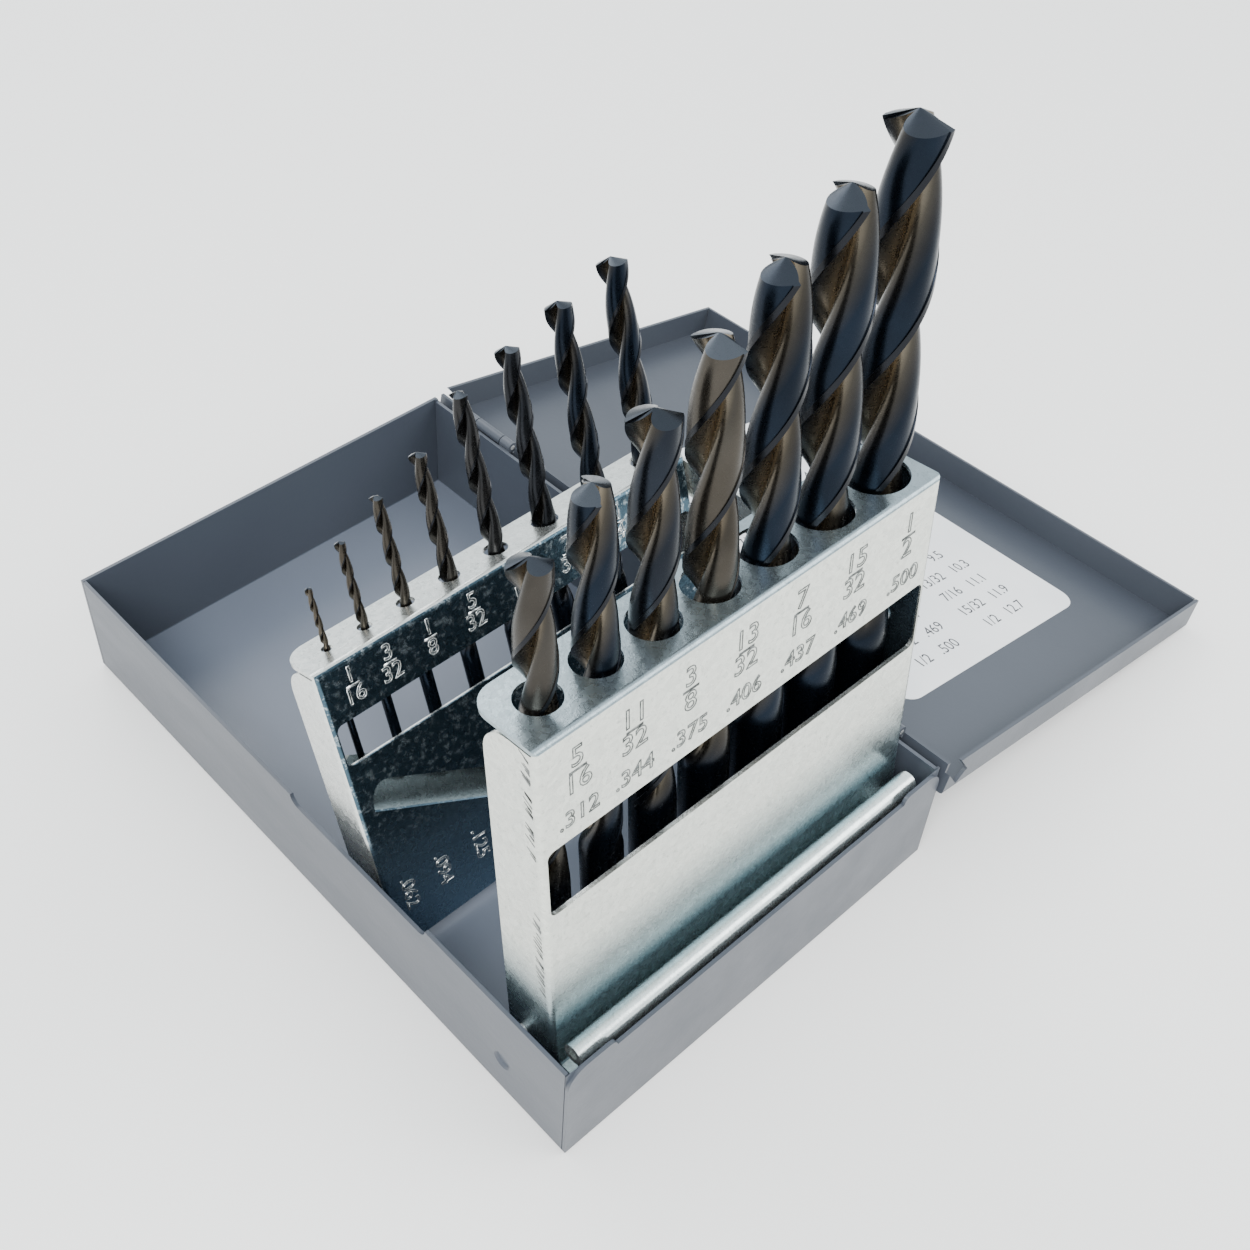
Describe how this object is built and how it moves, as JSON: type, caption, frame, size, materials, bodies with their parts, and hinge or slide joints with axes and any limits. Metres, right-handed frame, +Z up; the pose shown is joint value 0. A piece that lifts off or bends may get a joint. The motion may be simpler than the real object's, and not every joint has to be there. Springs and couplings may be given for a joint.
{
  "type": "drill bit drawer case",
  "caption": "Hinged sheet-steel drill index: tray with a flat-opening lid and two linked tilting racks that hold a graded set of twist drills upright.",
  "frame": {"origin": "centre of the flat underside of the tray", "axes": "+X across the tray towards the hinge and the open lid, +Y along the tray from the front rack to the far wall, +Z up"},
  "size_m": [0.2306, 0.1826, 0.1822],
  "materials": {
    "case_paint": "semi-gloss grey enamel",
    "lid_paint": "semi-gloss grey enamel",
    "zinc_sheet": "galvanized with spangle",
    "strap_sheet": "galvanized",
    "rivet_steel": "bright plated",
    "oxide_steel": "black and bronze oxide"
  },
  "bodies": {
    "case": {"case_base": "case_paint", "hinge_pins": "rivet_steel", "front_studs": "rivet_steel", "back_studs": "rivet_steel"},
    "lid": {"lid": "lid_paint"},
    "front_rack": {"front_rack": "zinc_sheet", "strap_front_rivet": "rivet_steel"},
    "back_rack": {"back_rack": "zinc_sheet", "strap_back_rivet": "rivet_steel"},
    "strap": {"strap": "strap_sheet"},
    "drill_1_16": {"drill_1_16": "oxide_steel"},
    "drill_3_32": {"drill_3_32": "oxide_steel"},
    "drill_1_8": {"drill_1_8": "oxide_steel"},
    "drill_5_32": {"drill_5_32": "oxide_steel"},
    "drill_3_16": {"drill_3_16": "oxide_steel"},
    "drill_7_32": {"drill_7_32": "oxide_steel"},
    "drill_1_4": {"drill_1_4": "oxide_steel"},
    "drill_9_32": {"drill_9_32": "oxide_steel"},
    "drill_5_16": {"drill_5_16": "oxide_steel"},
    "drill_11_32": {"drill_11_32": "oxide_steel"},
    "drill_3_8": {"drill_3_8": "oxide_steel"},
    "drill_13_32": {"drill_13_32": "oxide_steel"},
    "drill_7_16": {"drill_7_16": "oxide_steel"},
    "drill_15_32": {"drill_15_32": "oxide_steel"},
    "drill_1_2": {"drill_1_2": "oxide_steel"}
  },
  "joints": [
    {"name": "lid_hinge", "type": "hinge", "parent": "case", "child": "lid", "pos_m": [0.0587, 0, 0.031], "axis": [0, -1, 0], "range_deg": [0, 100]},
    {"name": "front_rack_tilt", "type": "hinge", "parent": "case", "child": "front_rack", "pos_m": [0, -0.0726, 0.0227], "axis": [1, 0, 0], "range_deg": [-85, 0]},
    {"name": "back_rack_tilt", "type": "hinge", "parent": "case", "child": "back_rack", "pos_m": [0, -0.0264, 0.0108], "axis": [1, 0, 0], "range_deg": [-72, 0]},
    {"name": "strap_swing", "type": "hinge", "parent": "front_rack", "child": "strap", "pos_m": [0.05295, -0.06881, 0.06896], "axis": [1, 0, 0], "range_deg": [0, 75]},
    {"name": "lift_1_16", "type": "slide", "parent": "back_rack", "child": "drill_1_16", "axis": [0, 0.309, 0.9511], "range_m": [0, 0.0341]},
    {"name": "lift_3_32", "type": "slide", "parent": "back_rack", "child": "drill_3_32", "axis": [0, 0.309, 0.9511], "range_m": [0, 0.0386]},
    {"name": "lift_1_8", "type": "slide", "parent": "back_rack", "child": "drill_1_8", "axis": [0, 0.309, 0.9511], "range_m": [0, 0.0437]},
    {"name": "lift_5_32", "type": "slide", "parent": "back_rack", "child": "drill_5_32", "axis": [0, 0.309, 0.9511], "range_m": [0, 0.0498]},
    {"name": "lift_3_16", "type": "slide", "parent": "back_rack", "child": "drill_3_16", "axis": [0, 0.309, 0.9511], "range_m": [0, 0.0521]},
    {"name": "lift_7_32", "type": "slide", "parent": "back_rack", "child": "drill_7_32", "axis": [0, 0.309, 0.9511], "range_m": [0, 0.0544]},
    {"name": "lift_1_4", "type": "slide", "parent": "back_rack", "child": "drill_1_4", "axis": [0, 0.309, 0.9511], "range_m": [0, 0.0569]},
    {"name": "lift_9_32", "type": "slide", "parent": "back_rack", "child": "drill_9_32", "axis": [0, 0.309, 0.9511], "range_m": [0, 0.0596]},
    {"name": "lift_5_16", "type": "slide", "parent": "front_rack", "child": "drill_5_16", "axis": [0, 0.0872, 0.9962], "range_m": [0, 0.085]},
    {"name": "lift_11_32", "type": "slide", "parent": "front_rack", "child": "drill_11_32", "axis": [0, 0.0872, 0.9962], "range_m": [0, 0.0842]},
    {"name": "lift_3_8", "type": "slide", "parent": "front_rack", "child": "drill_3_8", "axis": [0, 0.0872, 0.9962], "range_m": [0, 0.0834]},
    {"name": "lift_13_32", "type": "slide", "parent": "front_rack", "child": "drill_13_32", "axis": [0, 0.0872, 0.9962], "range_m": [0, 0.0826]},
    {"name": "lift_7_16", "type": "slide", "parent": "front_rack", "child": "drill_7_16", "axis": [0, 0.0872, 0.9962], "range_m": [0, 0.0818]},
    {"name": "lift_15_32", "type": "slide", "parent": "front_rack", "child": "drill_15_32", "axis": [0, 0.0872, 0.9962], "range_m": [0, 0.0809]},
    {"name": "lift_1_2", "type": "slide", "parent": "front_rack", "child": "drill_1_2", "axis": [0, 0.0872, 0.9962], "range_m": [0, 0.08]}
  ],
  "couplings": [
    {"joint": "back_rack_tilt", "follows": "front_rack_tilt", "ratio": 0.84706},
    {"joint": "strap_swing", "follows": "front_rack_tilt", "ratio": -0.87}
  ]
}
